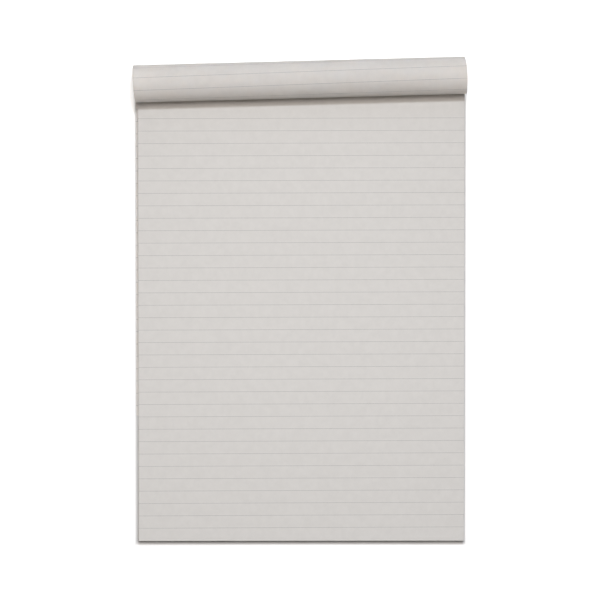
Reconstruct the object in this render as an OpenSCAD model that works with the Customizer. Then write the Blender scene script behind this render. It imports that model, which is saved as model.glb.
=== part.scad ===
// Ruled A4 writing pad, gummed at the head, with its top sheet turned back over the head.
// The frame: +X across the page, +Y towards the head, +Z up. The origin is the centre of the
// pad's outline, on the surface that the pad lies on.

/* [Sheets] */
// Width of a sheet
sheet_w = 210; // [120:1:300]
// Length of a sheet, from its head to its foot
sheet_l = 297; // [200:1:420]
// Thickness of one sheet of paper
sheet_t = 0.1; // [0.06:0.01:0.2]
// Number of sheets that lie flat in the pad
flat_sheets = 49; // [10:1:120]

/* [Backing board] */
// Thickness of the chipboard back
board_t = 1; // [0.5:0.1:3]

/* [Gum binding] */
// Thickness of the dried gum on the head
gum_t = 0.4; // [0.2:0.05:0.8]
// Rounding along the gum's outer edges
gum_round = 0.15; // [0.05:0.05:0.2]

/* [Turned sheet] */
// Radius of the roll, to the middle of the paper
roll_r = 11.5; // [8:0.5:18]
// How far the roll's axis lies in front of the head, at the left edge of the sheet
axis_left = 4.1; // [-2:0.1:6]
// The same at the right edge; a value below zero lies behind the head
axis_right = -1.6; // [-2:0.1:6]
// Room between the gum and the line where the paper comes down to the surface
landing_gap = 0.3; // [0.1:0.1:2]

/* [Ruling] */
// Blank space between the head and the first ruled line
head_margin = 24.4; // [15:0.1:40]
// Distance from one ruled line to the next
line_pitch = 8; // [5:0.5:12]
// Least blank space below the last ruled line
foot_margin = 8; // [4:0.5:20]
// Width of a printed line
line_w = 0.25; // [0.15:0.05:0.6]
// Thickness of the printed ink
ink_t = 0.02; // [0.01:0.01:0.05]

/* [Hidden] */

// Levels of the stack: the turned sheet lies on the surface, and the pad lies on the turned sheet.
board_z = sheet_t;
block_z = board_z + board_t;
block_h = flat_sheets * sheet_t;
page_z = block_z + block_h;
head_y = sheet_l / 2;

// The roll's axis is level, and skewed in plan. In front of the head, the paper lies flat as far as
// the line under the axis; behind it, the paper rises straight from the gum.
skew = atan((axis_left - axis_right) / sheet_w);
axis_front = max(axis_left, axis_right);
axis_back = min(axis_left, axis_right);
// The line under the axis, as a distance across it in plan
start_b = across_axis(-sheet_w / 2, head_y - axis_left);

// The loop is three arcs in a row: round over the top, easy down the back, tight at the landing.
// Each is given by the direction of the paper where it ends, as degrees turned from the flat.
round_end = 250;
back_end = 285;
full_turn = 360;
// Height of the roll's axis, with the roll resting on the page
axis_z = page_z + sheet_t / 2 + roll_r;
// Where the round arc ends, and where the landing has to be, measured across from the axis
round_end_u = -roll_r * sin(round_end);
round_end_z = axis_z - roll_r * cos(round_end);
landing_u = axis_front + gum_t + landing_gap;
// The back and landing radii that bring the paper down to the surface just there
reach = round_end_u - landing_u;
fall = round_end_z - sheet_t / 2;
back_du = sin(back_end) - sin(round_end);
back_dz = cos(back_end) - cos(round_end);
land_du = sin(full_turn) - sin(back_end);
land_dz = cos(full_turn) - cos(back_end);
det = back_du * land_dz - land_du * back_dz;
back_r = (reach * land_dz - land_du * fall) / det;
land_r = (back_du * fall - back_dz * reach) / det;
// Paper used up to the end of each arc
round_s = arc_length(roll_r, round_end);
back_s = round_s + arc_length(back_r, back_end - round_end);
loop_s = back_s + arc_length(land_r, full_turn - back_end);

// Facets along the loop and across the sheet
loop_steps = 90;
cross_steps = 6;
// Paper from the head to where the loop has ended at both edges, and in one facet
rolled_s = axis_front + loop_s / cos(skew);
facet_s = rolled_s / loop_steps;
// Room between the gum and the sheet's head, which leans where the paper rises from the gum
head_gap = 0.02;
// Room under the print on the roll: twice the bow of the paper's tightest facet
print_gap = pow(facet_s, 2) / 4 / min(roll_r, land_r);
$fn = 48;

function between(from, to, share) = from + (to - from) * share;
function arc_length(r, degrees) = r * degrees * PI / 180;
function arc_degrees(r, s) = s / r * 180 / PI;

// Distances along and across the roll's axis of a point in plan, and back again.
function along_axis(x, y) = x * cos(skew) + y * sin(skew);
function across_axis(x, y) = y * cos(skew) - x * sin(skew);
function in_plan(a, b) = [a * cos(skew) - b * sin(skew), a * sin(skew) + b * cos(skew)];

// Direction of the paper, in degrees turned, at a length s along the loop.
function turned_at(s) =
    s < round_s ? arc_degrees(roll_r, s)
    : s < back_s ? round_end + arc_degrees(back_r, s - round_s)
    : back_end + arc_degrees(land_r, s - back_s);

// Middle of the paper at that length, as [across from the axis, height].
function arc_point(centre, r, turn) = centre - r * [sin(turn), cos(turn)];
function arc_centre(start, r, turn) = start + r * [sin(turn), cos(turn)];
round_centre = [0, axis_z];
back_centre = arc_centre(arc_point(round_centre, roll_r, round_end), back_r, round_end);
land_centre = arc_centre(arc_point(back_centre, back_r, back_end), land_r, back_end);
function loop_point(s) =
    s < round_s ? arc_point(round_centre, roll_r, turned_at(s))
    : s < back_s ? arc_point(back_centre, back_r, turned_at(s))
    : arc_point(land_centre, land_r, turned_at(s));

// Where a point of the flat sheet goes when the sheet is turned. The sheet bends along lines
// parallel to the roll's axis without stretching, so its side edges wind round the roll.
// The rise is measured from the middle of the paper towards the inside of the roll.
function turned_point(x, y, rise) =
    let (a = along_axis(x, y), b = across_axis(x, y), s = start_b - b)
    s <= 0 ? [x, y, page_z + sheet_t / 2 + rise]
    : s >= loop_s ? concat(in_plan(a, b + loop_s + landing_u), sheet_t / 2 + rise)
    : let (p = loop_point(s), turn = turned_at(s), q = p + rise * [sin(turn), cos(turn)])
        concat(in_plan(a, start_b + q[0]), q[1]);

// A row of points across the turned sheet, from one y on the flat page: out along one face, which
// is given by its rise, and back along the other.
function turned_row(y, out_rise, back_rise) =
    let (xs = [for (i = [0:cross_steps]) between(-sheet_w / 2, sheet_w / 2, i / cross_steps)])
    concat(
        [for (i = [0:cross_steps]) turned_point(xs[i], y, out_rise)],
        [for (i = [cross_steps:-1:0]) turned_point(xs[i], y, back_rise)]
    );

// A thin closed solid through such rows. Each square is split along the roll's bend lines.
module skin(rows) {
    n = len(rows[0]);
    last = (len(rows) - 1) * n;
    sides = [
        for (i = [0:n:last - n], j = [0:n - 1])
            let (a = i + j, b = i + (j + 1) % n)
            each (j < n / 2) == (skew > 0)
                ? [[a, b, a + n], [b, b + n, a + n]]
                : [[a, b, b + n], [a, b + n, a + n]]
    ];
    ends = [
        for (j = [0:n / 2 - 2])
            let (a = j, b = j + 1, c = n - 2 - j, d = n - 1 - j)
            each [[a, c, b], [a, d, c], [last + a, last + b, last + c], [last + a, last + c, last + d]]
    ];
    polyhedron(points = [for (row = rows) each row], faces = concat(sides, ends));
}

// Chipboard back, cut flush with the sheets.
module back_board() {
    color("#B3AA9C")
        translate([-sheet_w / 2, -head_y, board_z])
            cube([sheet_w, sheet_l, board_t]);
}

// The sheets that lie flat, pressed together as one block.
module sheet_block() {
    color("#DBD8D2")
        translate([-sheet_w / 2, -head_y, block_z])
            cube([sheet_w, sheet_l, block_h]);
}

// The top sheet: held at the head, rolled back over it and tucked under the board.
module turned_sheet() {
    lengths = concat(head_gap, [for (i = [1:loop_steps]) i * facet_s], sheet_l);
    color("#D6D2CD")
        skin([for (s = lengths) turned_row(head_y - s, sheet_t / 2, -sheet_t / 2)]);
}

// Padding gum brushed over the head, which holds every sheet and the board by its edge.
module gum_binding() {
    gum_h = page_z + sheet_t - board_z;
    color("#E8E4DA")
        translate([-sheet_w / 2, head_y, board_z])
            rotate([90, 0, 90])
                linear_extrude(height = sheet_w)
                    union() {
                        square([gum_t - gum_round, gum_h]);
                        translate([0, gum_round]) square([gum_t, gum_h - 2 * gum_round]);
                        for (z = [gum_round, gum_h - gum_round])
                            translate([gum_t - gum_round, z]) circle(r = gum_round);
                    }
}

// Feint ruling printed on the page.
module page_ruling() {
    color("#B2B1AF")
        for (y = [head_margin:line_pitch:sheet_l - foot_margin])
            translate([-sheet_w / 2, head_y - y - line_w / 2, page_z])
                cube([sheet_w, line_w, ink_t]);
}

// The same ruling on the reverse of the turned sheet, as far as it shows on the roll.
module turned_ruling() {
    under = -sheet_t / 2 - print_gap;
    over = under - ink_t;
    color("#B2B1AF")
        for (s = [head_margin:line_pitch:axis_back + loop_s - line_w])
            skin([for (side = [-1, 1]) turned_row(head_y - s - side * line_w / 2, under, over)]);
}

back_board();
sheet_block();
turned_sheet();
gum_binding();
page_ruling();
turned_ruling();
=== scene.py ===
import math
import random

import bmesh
import bpy
from mathutils import Matrix, Vector, noise


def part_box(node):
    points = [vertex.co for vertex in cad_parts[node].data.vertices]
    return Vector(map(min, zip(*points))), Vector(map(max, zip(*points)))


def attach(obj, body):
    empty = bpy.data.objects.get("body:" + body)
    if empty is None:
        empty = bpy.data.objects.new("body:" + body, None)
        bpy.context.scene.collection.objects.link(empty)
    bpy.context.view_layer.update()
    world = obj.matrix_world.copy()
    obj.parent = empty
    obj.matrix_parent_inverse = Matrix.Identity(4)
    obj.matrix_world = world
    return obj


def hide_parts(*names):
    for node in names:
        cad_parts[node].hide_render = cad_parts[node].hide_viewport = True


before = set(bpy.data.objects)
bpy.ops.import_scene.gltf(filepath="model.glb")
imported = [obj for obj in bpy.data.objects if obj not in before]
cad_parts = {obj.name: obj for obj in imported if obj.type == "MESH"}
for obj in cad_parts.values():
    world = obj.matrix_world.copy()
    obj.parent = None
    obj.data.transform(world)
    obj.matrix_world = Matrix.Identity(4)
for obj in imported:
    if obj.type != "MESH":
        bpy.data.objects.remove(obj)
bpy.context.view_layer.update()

MM = 0.001

# Sizes of the pad, from the frame. The board lies on the tucked end of the turned sheet.
block_low, block_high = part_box("sheet_block")
board_low, board_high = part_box("back_board")
gum_low, gum_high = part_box("gum_binding")
SHEET_W = block_high.x - block_low.x
SHEET_L = block_high.y - block_low.y
SHEET_T = board_low.z
GUM_T = gum_high.y - gum_low.y
HEAD_Y = block_high.y
FOOT_Y = block_low.y
PAGE_Z = block_high.z
FLAT_SHEETS = round((block_high.z - block_low.z) / SHEET_T)

# The feint ruling. Each side of a sheet is printed in a pass of its own, a little out of square.
LINE_PITCH = 8 * MM
LINE_W = 0.25 * MM
FOOT_MARGIN = 8 * MM
PAGE_MARGIN = 24.4 * MM
PAGE_SLANT = math.radians(0.2)
REVERSE_MARGIN = 24.9 * MM
REVERSE_SLANT = math.radians(0.9)

# The loop of the turned sheet: its radius over the top, how far its axis lies in front of the head
# at either edge, the room between the gum and the landing, and how far the paper has turned at the
# end of each of the three arcs that follow one another.
ROLL_R = 11.5 * MM
AXIS_LEFT = 4.1 * MM
AXIS_RIGHT = -1.6 * MM
LANDING_GAP = 0.3 * MM
ROUND_END = math.radians(250)
BACK_END = math.radians(285)
FULL_TURN = math.radians(360)

# How finely paper is cut into faces: a sheet along its loop, along its flat parts and across, and
# the stack. A cut that comes too close to the edge of a printed line is left out.
LOOP_STEP = 0.4 * MM
FLAT_STEP = 4 * MM
CROSS_STEP = 7 * MM
STACK_STEP = 3 * CROSS_STEP
LINE_ROOM = LOOP_STEP / 4

# Unevenness of real paper: the roll's slow waves, the lift of the top sheets at the corners of the
# foot, which is less at the left, and the scatter of the trimmed edges. The hairline between two
# sheets is a share of their thickness.
ROLL_WAVE = 0.06 * MM
ROLL_WAVE_LENGTH = 70 * MM
CORNER_LIFT = 0.35 * MM
CORNER_REACH = 70 * MM
LEFT_LIFT_SHARE = 0.6
TRIM_SEED = 11
TRIM_SCATTER = 0.05 * MM
BUNDLE_SCATTER = 0.12 * MM
BUNDLE_SHEETS = 7
HAIRLINE_SHARE = 0.06

# The board's and the gum's edges
BOARD_ROUND = 0.12 * MM
BOARD_FUZZ = 0.04 * MM
BOARD_STEP = 4 * MM
FUZZ_LENGTH = BOARD_STEP / 2
GUM_ROUND = 0.15 * MM
GUM_RIPPLE = 0.06 * MM
GUM_STEP = 3 * MM
GUM_RISE_STEP = GUM_STEP / 3

# Patterns in the materials: their sizes, and the depth of those that stand out
CLOUD_W = 4 * MM
FIBRE_W = 0.7 * MM
FIBRE_DEPTH = 0.03 * MM
CUT_SIZE = (90 * MM, 90 * MM, 6 * SHEET_T)
INK_BREAK_L = 1 * MM
FELT_W = 3 * MM
FLECK_W = 1 * MM
FLECK_DEPTH = 0.08 * MM
STROKE_SIZE = (25 * MM, 1 * MM, 0.6 * MM)
STROKE_DEPTH = 0.1 * MM

# How far light goes through paper before a fibre turns it, and how that differs in red, green and
# blue
SCATTER = 0.25 * MM
SCATTER_TINT = (1.08, 1.0, 0.92)

# The shot: from above and very nearly straight down, with the middle and the width of what it takes
# in at the page
CAMERA_PLACE = Vector((-7 * MM, 22.5 * MM, PAGE_Z + 926 * MM))
CAMERA_AIM = Vector((-0.9 * MM, 7.15 * MM, PAGE_Z))
VIEW_W = 386.7 * MM
SENSOR_MM = 36

# A lamp behind the head and a soft one overhead, both turned past the pad so that the edge of their
# light falls evenly on the page; a broad, cooler light from behind; low ones at either side, which
# show the edges of the sheets; and a little from all round
KEY_PLACE = Vector((0.06, 0.361, 0.9))
KEY_AIM = Vector((0, -2.5, 0))
KEY_SIZE = 0.125
KEY_WATTS = 6.54
KEY_COLOUR = "#F2F8FF"
SOFT_PLACE = Vector((-0.055, 0.19, 0.9))
SOFT_AIM = Vector((-0.055, -0.42, 0))
SOFT_SIZE = 0.285
SOFT_WATTS = 4.15
SOFT_COLOUR = "#FFF8F2"
BACK_PLACE = Vector((0, 1.5, 1.5))
BACK_SIZE = 1.6
BACK_WATTS = 7.0
BACK_COLOUR = "#F4F8FF"
SIDE_PLACE = Vector((1.2, 0, 0.16))
SIDE_SIZE = 0.28
SIDE_WATTS = 2.4
SIDE_COLOUR = "#FFF7EF"
AROUND_COLOUR = "#FFE6CC"
AROUND_STRENGTH = 0.045
PAD_MIDDLE = Vector((0, 0, 0))

# The floor is pale away from the pad, and right beside the pad it is painted grey: a painted
# contact shadow. The painted shade has a middle, and at the sides, the foot and the head an edge
# and a rate at which it fades past that. The eye sees two glows on the floor, each with its first
# and last distance and its strength: one goes by the distance past the painted shade's edges, and
# one by that from its middle.
FLOOR_SIZE = 6.0
FLOOR_DROP = 0.1 * MM
# The painted shade right beside the pad, then the floor's own pale colour away from it
PAINTED_SHADE_BY_PAD = "#CCCCCC"
FLOOR_AWAY = "#F0F0F0"
SHADE_PAINT_CENTRE = Vector((-0.55 * MM, -0.4 * MM, 0))
SHADE_PAINT_SIDE = SHEET_W / 2
SIDE_FADE = 1.1
SHADE_PAINT_FOOT = FOOT_Y + 2.06 * MM
FOOT_FADE = 0.525
SHADE_PAINT_HEAD = HEAD_Y - 30 * MM
HEAD_FADE = 0.12
NEAR_GLOW = (1.5 * MM, 3.6 * MM, 0.45)
FAR_GLOW = (190 * MM, 450 * MM, 0.55)

# What lies this close to a cut counts as on it, an edge with more of a turn than this stays sharp,
# and a face of a sheet whose normal rises less than this is on the cut edge.
CUT_TOLERANCE = 1e-7
SHARP_ANGLE = math.radians(35)
EDGE_RISE = 0.5


# Materials

def linear(hex_colour):
    """The linear colour, with alpha, of an sRGB hex value."""
    channels = [int(hex_colour[i:i + 2], 16) / 255 for i in (1, 3, 5)]
    return [c / 12.92 if c <= 0.04045 else ((c + 0.055) / 1.055) ** 2.4 for c in channels] + [1.0]


def add(tree, kind, inputs=None, **settings):
    """Adds a node with its settings; an input is a value, or another node's output to link."""
    new = tree.nodes.new(kind)
    for name, value in settings.items():
        setattr(new, name, value)
    for name, value in (inputs or {}).items():
        if isinstance(value, bpy.types.NodeSocket):
            tree.links.new(value, new.inputs[name])
        else:
            new.inputs[name].default_value = value
    return new


def new_material(name):
    """A material with no nodes yet, and its node tree."""
    material = bpy.data.materials.new(name)
    material.use_nodes = True
    material.node_tree.nodes.clear()
    return material, material.node_tree


def surface(tree, shader):
    """Ends a material's nodes in its output."""
    add(tree, "ShaderNodeOutputMaterial", {"Surface": shader.outputs[0]})


def tones(tree, factor, dark, pale, low=0.3, high=0.7):
    """A colour that goes from dark to pale as the factor goes from low to high."""
    ramp = add(tree, "ShaderNodeValToRGB", {"Fac": factor})
    ramp.color_ramp.elements[0].position = low
    ramp.color_ramp.elements[0].color = linear(dark)
    ramp.color_ramp.elements[1].position = high
    ramp.color_ramp.elements[1].color = linear(pale)
    return ramp.outputs["Color"]


def bond_paper(name, thin, thick, light_through):
    """Uncoated bond paper, machine finished: matt and off-white, with faint clouds some 4 mm wide
    where the fibres lie thicker, and a fibre grain that is drawn at 0.7 mm so that it shows. Where
    light comes through, a lit sheet glows a little on its shaded side, and more in red than in
    blue."""
    material, tree = new_material(name)
    place = add(tree, "ShaderNodeTexCoord").outputs["Object"]
    clouds = add(tree, "ShaderNodeTexNoise", {"Vector": place, "Scale": 1 / CLOUD_W, "Detail": 3.0})
    fibres = add(tree, "ShaderNodeTexNoise", {"Vector": place, "Scale": 1 / FIBRE_W, "Detail": 2.0})
    colour = tones(tree, clouds.outputs["Fac"], thin, thick)
    grain = add(tree, "ShaderNodeBump",
                {"Height": fibres.outputs["Fac"], "Strength": 0.12, "Distance": FIBRE_DEPTH})
    surface(tree, add(tree, "ShaderNodeBsdfPrincipled",
                      {"Base Color": colour, "Roughness": 0.9, "IOR": 1.45,
                       "Specular IOR Level": 0.25, "Normal": grain.outputs["Normal"],
                       "Subsurface Weight": light_through, "Subsurface Radius": SCATTER_TINT,
                       "Subsurface Scale": SCATTER}))
    return material


def cut_edge_paper():
    """The guillotined edge of a stack of bond paper: each sheet shows as a hairline of its own
    tone, drawn six sheets thick, with finer ones within, so that it shows. The tones run mostly
    darker than the face of a sheet, which is painted shade in the gaps between the sheets."""
    material, tree = new_material("bond_paper_cut_edge")
    place = add(tree, "ShaderNodeTexCoord").outputs["Object"]
    layers = add(tree, "ShaderNodeMapping",
                 {"Vector": place, "Scale": [1 / size for size in CUT_SIZE]})
    tone = add(tree, "ShaderNodeTexNoise",
               {"Vector": layers.outputs["Vector"], "Scale": 1.0, "Detail": 3.0})
    # The tone differs at random from layer to layer; its dark end is painted shade between the
    # sheets
    colour = tones(tree, tone.outputs["Fac"], "#B9B3AC", "#DEDAD5", low=0.35, high=0.62)
    surface(tree, add(tree, "ShaderNodeBsdfPrincipled",
                      {"Base Color": colour, "Roughness": 0.95, "IOR": 1.45,
                       "Specular IOR Level": 0.2}))
    return material


def feint_ink():
    """Thin grey offset ink that has sunk into the paper: as matt as the sheet, with a slightly
    broken line where the fibres take less of it, drawn at 1 mm so that it shows."""
    material, tree = new_material("feint_ink_offset_printed")
    place = add(tree, "ShaderNodeTexCoord").outputs["Object"]
    breaks = add(tree, "ShaderNodeTexNoise",
                 {"Vector": place, "Scale": 1 / INK_BREAK_L, "Detail": 2.0})
    colour = tones(tree, breaks.outputs["Fac"], "#AFAEAC", "#BDBCBB")
    surface(tree, add(tree, "ShaderNodeBsdfPrincipled",
                      {"Base Color": colour, "Roughness": 0.9, "IOR": 1.45,
                       "Specular IOR Level": 0.25}))
    return material


def chipboard():
    """Grey chipboard of pulped waste paper, raw: matt grey-brown with dark flecks about 1 mm long,
    and a felted, slightly rough face."""
    material, tree = new_material("chipboard_raw")
    place = add(tree, "ShaderNodeTexCoord").outputs["Object"]
    felt = add(tree, "ShaderNodeTexNoise", {"Vector": place, "Scale": 1 / FELT_W, "Detail": 5.0})
    flecks = add(tree, "ShaderNodeTexNoise", {"Vector": place, "Scale": 1 / FLECK_W, "Detail": 3.0})
    base = tones(tree, felt.outputs["Fac"], "#9A9084", "#B4AA9C")
    dark = tones(tree, flecks.outputs["Fac"], "#5F574E", "#FFFFFF", low=0.28, high=0.4)
    colour = add(tree, "ShaderNodeMix", {"Factor": 0.6, "A": base, "B": dark},
                 data_type="RGBA", blend_type="MULTIPLY")
    rough = add(tree, "ShaderNodeBump",
                {"Height": flecks.outputs["Fac"], "Strength": 0.3, "Distance": FLECK_DEPTH})
    surface(tree, add(tree, "ShaderNodeBsdfPrincipled",
                      {"Base Color": colour.outputs["Result"], "Roughness": 0.95, "IOR": 1.45,
                       "Specular IOR Level": 0.2, "Normal": rough.outputs["Normal"]}))
    return material


def padding_gum():
    """White padding gum, brushed on and dried: a rubbery skin with a low gloss, streaked along
    the head by the brush."""
    material, tree = new_material("padding_gum_brushed")
    place = add(tree, "ShaderNodeTexCoord").outputs["Object"]
    strokes = add(tree, "ShaderNodeMapping",
                  {"Vector": place, "Scale": [1 / size for size in STROKE_SIZE]})
    streaks = add(tree, "ShaderNodeTexNoise",
                  {"Vector": strokes.outputs["Vector"], "Scale": 1.0, "Detail": 3.0})
    colour = tones(tree, streaks.outputs["Fac"], "#DED9CC", "#EBE7DE")
    ridges = add(tree, "ShaderNodeBump",
                 {"Height": streaks.outputs["Fac"], "Strength": 0.4, "Distance": STROKE_DEPTH})
    surface(tree, add(tree, "ShaderNodeBsdfPrincipled",
                      {"Base Color": colour, "Roughness": 0.45, "IOR": 1.47,
                       "Normal": ridges.outputs["Normal"]}))
    return material


# A sheet in the pad has white paper behind it; light goes through a single one. The single sheet
# is the same paper, set a shade paler and a touch redder than the pages: the paler part makes up
# for the light that goes through it, and the redder part is painted warm light on the roll.
PAPER = bond_paper("bond_paper_uncoated", "#D5D3D0", "#D9D7D4", 0.0)
SINGLE_PAPER = bond_paper("bond_paper_single_sheet", "#D9D5D1", "#DDD9D5", 0.8)
EDGE = cut_edge_paper()
INK = feint_ink()
PAPER_SLOT, EDGE_SLOT, INK_SLOT = range(3)


# Making pieces

def in_scene(name, data):
    """A new object in the scene, with its data."""
    obj = bpy.data.objects.new(name, data)
    bpy.context.scene.collection.objects.link(obj)
    return obj


def mesh_object(name, bm, materials):
    """Turns a finished bmesh into an object in the scene."""
    mesh = bpy.data.meshes.new(name)
    bm.to_mesh(mesh)
    bm.free()
    for material in materials:
        mesh.materials.append(material)
    return in_scene(name, mesh)


def piece(name, bm, materials, slot, *replaced):
    """Turns a finished bmesh into a piece of the pad that stands for CAD nodes."""
    for face in bm.faces:
        face.smooth = True
    obj = mesh_object(name, bm, materials)
    obj.data.set_sharp_from_angle(angle=SHARP_ANGLE)
    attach(obj, "root")
    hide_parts(*replaced)
    return obj


def cut(bm, places, direction):
    """Cuts the whole mesh through, square to the direction, at each of the places along it."""
    for place in places:
        bmesh.ops.bisect_plane(bm, geom=bm.verts[:] + bm.edges[:] + bm.faces[:], dist=CUT_TOLERANCE,
                               plane_co=place * direction, plane_no=direction)


def steps(first, last, step):
    """Even places from just after first to just before last, about a step apart."""
    count = max(1, round((last - first) / step))
    return [first + (last - first) * i / count for i in range(1, count)]


def slab(bm, low, high):
    """Adds a plain box from its low corner to its high one."""
    size = Matrix.Diagonal((*(high - low), 1))
    bmesh.ops.create_cube(bm, size=1, matrix=Matrix.Translation((low + high) / 2) @ size)


def on_cut_edge(face):
    """Whether a face of a sheet that lies flat is on its cut edge."""
    return abs(face.normal.z) < EDGE_RISE


def ruled_sheet(margin, slant, fine_to=0.0):
    """One cut sheet lying flat at height 0, ruled on both faces: each line is a strip of faces with
    the ink on it. From the head as far as fine_to it is cut finely enough to roll."""
    bm = bmesh.new()
    half = Vector((SHEET_W, SHEET_L, SHEET_T)) / 2
    slab(bm, -half, half)
    down = Vector((math.sin(slant), -math.cos(slant), 0))
    head = -HEAD_Y * math.cos(slant)
    count = int((SHEET_L - margin - FOOT_MARGIN) / LINE_PITCH) + 1
    lines = [margin + LINE_PITCH * i for i in range(count)]
    edges = [line + side * LINE_W / 2 for line in lines for side in (-1, 1)]
    between = steps(0.0, fine_to, LOOP_STEP) + steps(fine_to, SHEET_L, FLAT_STEP)
    spare = [y for y in between if all(abs(y - edge) > LINE_ROOM for edge in edges)]
    cut(bm, [head + y for y in sorted(edges + spare)], down)
    cut(bm, steps(-half.x, half.x, CROSS_STEP), Vector((1, 0, 0)))
    for face in bm.faces:
        from_head = face.calc_center_median().dot(down) - head
        nearest = min(abs(from_head - line) for line in lines)
        if on_cut_edge(face):
            face.material_index = EDGE_SLOT
        elif nearest < LINE_W / 2:
            face.material_index = INK_SLOT
    return bm


# The flat sheets

def lift(x, y, depth):
    """How far a sheet that lies so deep in the stack lifts at the corners of the foot."""
    reach = sum(
        share * math.exp(-((x - side * SHEET_W / 2) ** 2 + (y - FOOT_Y) ** 2) / CORNER_REACH ** 2)
        for side, share in ((1, 1.0), (-1, LEFT_LIFT_SHARE))
    )
    return CORNER_LIFT * reach * max(0.0, 1 - depth / (BUNDLE_SHEETS * SHEET_T)) ** 2


def top_page():
    """The page that faces the writer: the uppermost flat sheet, with its ruling."""
    bm = ruled_sheet(PAGE_MARGIN, PAGE_SLANT)
    for v in bm.verts:
        v.co.z += PAGE_Z - SHEET_T / 2 + lift(v.co.x, v.co.y, 0.0)
    piece("top_page", bm, [PAPER, EDGE, INK], "paper", "sheet_block", "page_ruling")


def sheet_stack():
    """The sheets under the page: trimmed together, so their edges agree to a twentieth of a
    millimetre, apart from bundles that went under the knife a little off."""
    draw = random.Random(TRIM_SEED)
    bm = bmesh.new()
    for number in range(FLAT_SHEETS - 1):
        if number % BUNDLE_SHEETS == 0:
            bundle = draw.uniform(-BUNDLE_SCATTER, BUNDLE_SCATTER)
        shift = bundle + draw.uniform(-TRIM_SCATTER, TRIM_SCATTER)
        foot = draw.uniform(0, TRIM_SCATTER) + abs(bundle)
        low = Vector((block_low.x + shift, FOOT_Y + foot, block_low.z + number * SHEET_T))
        high = Vector((block_high.x + shift, HEAD_Y, low.z + SHEET_T * (1 - HAIRLINE_SHARE)))
        slab(bm, low, high)
    cut(bm, steps(block_low.x, block_high.x, STACK_STEP), Vector((1, 0, 0)))
    cut(bm, steps(FOOT_Y, HEAD_Y, STACK_STEP), Vector((0, 1, 0)))
    for face in bm.faces:
        face.material_index = EDGE_SLOT if on_cut_edge(face) else PAPER_SLOT
    for v in bm.verts:
        v.co.z += lift(v.co.x, v.co.y, PAGE_Z - v.co.z)
    piece("sheet_stack", bm, [PAPER, EDGE], "paper", "sheet_block")


# The turned sheet

def inward(turn):
    """Unit step, as (across, up), from paper that has turned so far to the middle of its bend."""
    return Vector((math.sin(turn), math.cos(turn)))


def loop_arcs():
    """The loop as arcs of (length so far, radius, centre, first turn), its whole length, and how
    far behind its axis it lands: round over the top, easy down the back, and tight where it lands
    just behind the gum. The last two radii are the ones that bring the paper to the landing."""
    start = Vector((0, PAGE_Z + SHEET_T / 2))
    round_end = start + ROLL_R * (inward(0) - inward(ROUND_END))
    landing = Vector((max(AXIS_LEFT, AXIS_RIGHT) + GUM_T + LANDING_GAP, SHEET_T / 2))
    spans = Matrix((inward(BACK_END) - inward(ROUND_END), inward(FULL_TURN) - inward(BACK_END)))
    back_r, landing_r = spans.transposed().inverted() @ (round_end - landing)
    arcs, length = [], 0.0
    for radius, first, last in ((ROLL_R, 0, ROUND_END), (back_r, ROUND_END, BACK_END),
                                (landing_r, BACK_END, FULL_TURN)):
        centre = start + radius * inward(first)
        arcs.append((length, radius, centre, first))
        start = centre - radius * inward(last)
        length += radius * (last - first)
    return arcs, length, landing.x


# The roll's axis in plan: the directions along and across it, and how far across the loop starts
SKEW = math.atan((AXIS_LEFT - AXIS_RIGHT) / SHEET_W)
ALONG = Vector((math.cos(SKEW), math.sin(SKEW)))
ACROSS = Vector((-math.sin(SKEW), math.cos(SKEW)))
START = ACROSS.dot((-SHEET_W / 2, HEAD_Y - AXIS_LEFT))
ARCS, LOOP_L, LANDING = loop_arcs()


def turned(flat):
    """Where a point of the flat sheet goes when the sheet is turned back. The sheet bends along
    lines parallel to the roll's skewed axis and doesn't stretch, so its edges wind round the
    roll."""
    along, across = ALONG.dot(flat.xy), ACROSS.dot(flat.xy)
    length = START - across
    if length <= 0:
        return Vector((flat.x, flat.y, PAGE_Z + SHEET_T / 2 + flat.z))
    if length >= LOOP_L:
        plan = along * ALONG + (across + LOOP_L + LANDING) * ACROSS
        return Vector((*plan, SHEET_T / 2 + flat.z))
    so_far, radius, centre, first = [arc for arc in ARCS if arc[0] <= length][-1]
    turn = first + (length - so_far) / radius
    free = math.sin(math.pi * length / LOOP_L) ** 2
    wave = noise.noise(Vector((along, length, 0)) / ROLL_WAVE_LENGTH)
    off_axis, height = centre - (radius - flat.z + ROLL_WAVE * free * wave) * inward(turn)
    return Vector((*(along * ALONG + (START + off_axis) * ACROSS), height))


def turned_sheet():
    """The top sheet, rolled back over the head and tucked under the board, ruled on its reverse."""
    bm = ruled_sheet(REVERSE_MARGIN, REVERSE_SLANT, LOOP_L + AXIS_LEFT + LOOP_STEP)
    for v in bm.verts:
        v.co = turned(v.co)
    bmesh.ops.recalc_face_normals(bm, faces=bm.faces)
    obj = piece("turned_sheet_rolled", bm, [SINGLE_PAPER, EDGE, INK], "paper",
                "turned_sheet", "turned_ruling")


# The back and the binding

def backing():
    """The chipboard back: its cut edge is a little crushed at the corners and fuzzy with fibres."""
    bm = bmesh.new()
    slab(bm, board_low, board_high)
    bmesh.ops.bevel(bm, geom=bm.edges[:], offset=BOARD_ROUND, offset_type="OFFSET", affect="EDGES",
                    segments=2, profile=0.5, material=-1)
    cut(bm, steps(board_low.x, board_high.x, BOARD_STEP), Vector((1, 0, 0)))
    cut(bm, steps(board_low.y, board_high.y, BOARD_STEP), Vector((0, 1, 0)))
    for v in bm.verts:
        inset = min(v.co.x - board_low.x, board_high.x - v.co.x, v.co.y - board_low.y)
        if inset < BOARD_ROUND:
            fuzz = BOARD_FUZZ * (1 + noise.noise(v.co / FUZZ_LENGTH)) / 2
            v.co.x -= math.copysign(fuzz, v.co.x)
            v.co.y += fuzz if v.co.y < 0 else 0
    piece("chipboard_back", bm, [chipboard()], "chipboard", "back_board")


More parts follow.
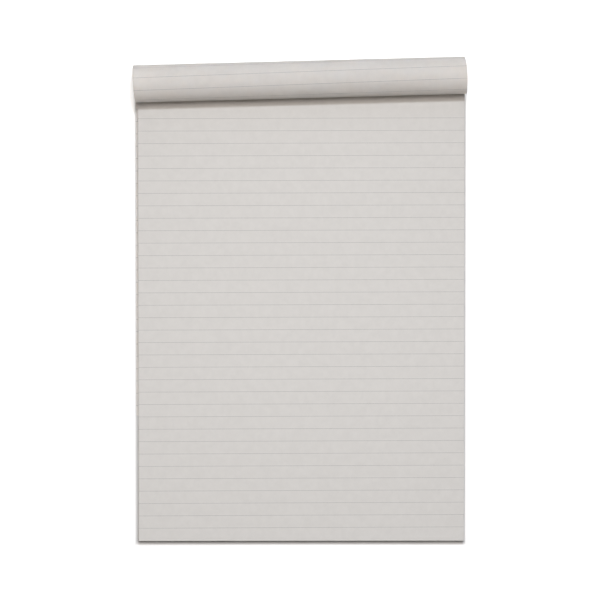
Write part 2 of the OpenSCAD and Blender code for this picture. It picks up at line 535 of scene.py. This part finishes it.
def binding():
    """The padding gum on the head: a brushed film with soft edges and an uneven outer face."""
    bm = bmesh.new()
    slab(bm, gum_low, gum_high)
    outer = [e for e in bm.edges if all(v.co.y > gum_high.y - GUM_ROUND for v in e.verts)]
    bmesh.ops.bevel(bm, geom=outer, offset=GUM_ROUND, offset_type="OFFSET", affect="EDGES",
                    segments=3, profile=0.5, material=-1)
    cut(bm, steps(gum_low.x, gum_high.x, GUM_STEP), Vector((1, 0, 0)))
    cut(bm, steps(gum_low.z, gum_high.z, GUM_RISE_STEP), Vector((0, 0, 1)))
    for v in bm.verts:
        if v.co.y > gum_low.y + GUM_RIPPLE:
            v.co.y -= GUM_RIPPLE * (1 + noise.noise(v.co / GUM_STEP)) / 2
    piece("gum_film", bm, [padding_gum()], "padding_gum", "gum_binding")


# The stage

def background_rays(tree):
    """One for a ray that shows the background, to the eye or in gloss or glass, else zero."""
    path = add(tree, "ShaderNodeLightPath")
    seen = path.outputs["Is Camera Ray"]
    for kind in ("Is Glossy Ray", "Is Transmission Ray"):
        seen = add(tree, "ShaderNodeMath", {0: seen, 1: path.outputs[kind]},
                   operation="MAXIMUM").outputs[0]
    return seen


def floor():
    """A pale, matt sweep under the pad, with painted shade right beside it that stands in for a
    contact shadow. Away from the pad the eye sees it a little lighter than it is, so that it reads
    as white, and close to the pad it keeps the shadow."""
    material, tree = new_material("white_sweep_matt_painted_shade")
    centred = add(tree, "ShaderNodeMapping",
                  {"Vector": add(tree, "ShaderNodeTexCoord").outputs["Object"],
                   "Location": -SHADE_PAINT_CENTRE}).outputs["Vector"]
    place = add(tree, "ShaderNodeSeparateXYZ", {0: centred})
    x = add(tree, "ShaderNodeMath", {0: place.outputs["X"]}, operation="ABSOLUTE").outputs[0]
    y = place.outputs["Y"]
    # How far a point lies past the painted shade's edges, each at its own rate
    off = -FLOOR_SIZE
    for along, slope, edge in ((x, SIDE_FADE, SHADE_PAINT_SIDE), (y, -FOOT_FADE, -SHADE_PAINT_FOOT),
                               (y, HEAD_FADE, SHADE_PAINT_HEAD)):
        past = add(tree, "ShaderNodeMath", {0: along, 1: slope, 2: -edge * abs(slope)},
                   operation="MULTIPLY_ADD")
        off = add(tree, "ShaderNodeMath", {0: past.outputs[0], 1: off},
                  operation="MAXIMUM").outputs[0]
    far = add(tree, "ShaderNodeVectorMath", {0: centred}, operation="LENGTH").outputs["Value"]
    near_rise, far_rise = [
        add(tree, "ShaderNodeMapRange",
            {"Value": distance, "From Min": first, "From Max": last, "To Max": strength}).outputs[0]
        for distance, (first, last, strength) in ((off, NEAR_GLOW), (far, FAR_GLOW))
    ]
    rise = add(tree, "ShaderNodeMath", {0: near_rise, 1: far_rise}, operation="ADD")
    glow = add(tree, "ShaderNodeMath", {0: background_rays(tree), 1: rise.outputs[0]},
               operation="MULTIPLY")
    # The colour runs from the painted shade beside the pad to the floor's own pale colour
    colour = tones(tree, near_rise, PAINTED_SHADE_BY_PAD, FLOOR_AWAY, low=0.0, high=NEAR_GLOW[2])
    matt = add(tree, "ShaderNodeBsdfDiffuse", {"Color": colour})
    light = add(tree, "ShaderNodeEmission", {"Strength": glow.outputs[0]})
    surface(tree, add(tree, "ShaderNodeAddShader", {0: matt.outputs[0], 1: light.outputs[0]}))
    bm = bmesh.new()
    bmesh.ops.create_grid(bm, x_segments=1, y_segments=1, size=FLOOR_SIZE / 2,
                          matrix=Matrix.Translation((0, 0, -FLOOR_DROP)))
    mesh_object("floor", bm, [material])


def around():
    """A little even light from all round, which the eye sees as white."""
    world = bpy.data.worlds.new("studio")
    bpy.context.scene.world = world
    world.use_nodes = True
    tree = world.node_tree
    tree.nodes.clear()
    light = add(tree, "ShaderNodeBackground",
                {"Color": linear(AROUND_COLOUR), "Strength": AROUND_STRENGTH})
    white = add(tree, "ShaderNodeBackground", {"Color": linear("#FFFFFF"), "Strength": 1.0})
    both = add(tree, "ShaderNodeMixShader",
               {0: background_rays(tree), 1: light.outputs[0], 2: white.outputs[0]})
    add(tree, "ShaderNodeOutputWorld", {"Surface": both.outputs[0]})


def lamp(name, shape, place, aim, size, watts, colour):
    """A flat lamp of the given shape that faces a point."""
    data = bpy.data.lights.new(name, "AREA")
    data.shape = shape
    data.size = size
    data.energy = watts
    data.color = linear(colour)[:3]
    obj = in_scene(name, data)
    obj.location = place
    obj.rotation_euler = (aim - place).to_track_quat("-Z", "Y").to_euler()
    obj.visible_camera = False


def camera():
    """Looks down on the page, a degree or so out of square with it, with the head at the top."""
    sight = CAMERA_AIM - CAMERA_PLACE
    data = bpy.data.cameras.new("camera")
    data.sensor_width = SENSOR_MM
    data.lens = SENSOR_MM * -sight.z / VIEW_W
    obj = in_scene("camera", data)
    obj.location = CAMERA_PLACE
    obj.rotation_euler = (math.atan2(sight.y, sight.xz.length), math.atan2(-sight.x, -sight.z), 0)
    bpy.context.scene.camera = obj


camera()
lamp("key_lamp", "DISK", KEY_PLACE, KEY_AIM, KEY_SIZE, KEY_WATTS, KEY_COLOUR)
lamp("soft_lamp", "SQUARE", SOFT_PLACE, SOFT_AIM, SOFT_SIZE, SOFT_WATTS, SOFT_COLOUR)
lamp("back_lamp", "SQUARE", BACK_PLACE, PAD_MIDDLE, BACK_SIZE, BACK_WATTS, BACK_COLOUR)
for side in (-1, 1):
    lamp("side_lamp", "SQUARE", Vector((side * SIDE_PLACE.x, *SIDE_PLACE.yz)), PAD_MIDDLE,
         SIDE_SIZE, SIDE_WATTS, SIDE_COLOUR)
around()
floor()
backing()
sheet_stack()
top_page()
turned_sheet()
binding()

bpy.context.scene.view_settings.view_transform = "Standard"
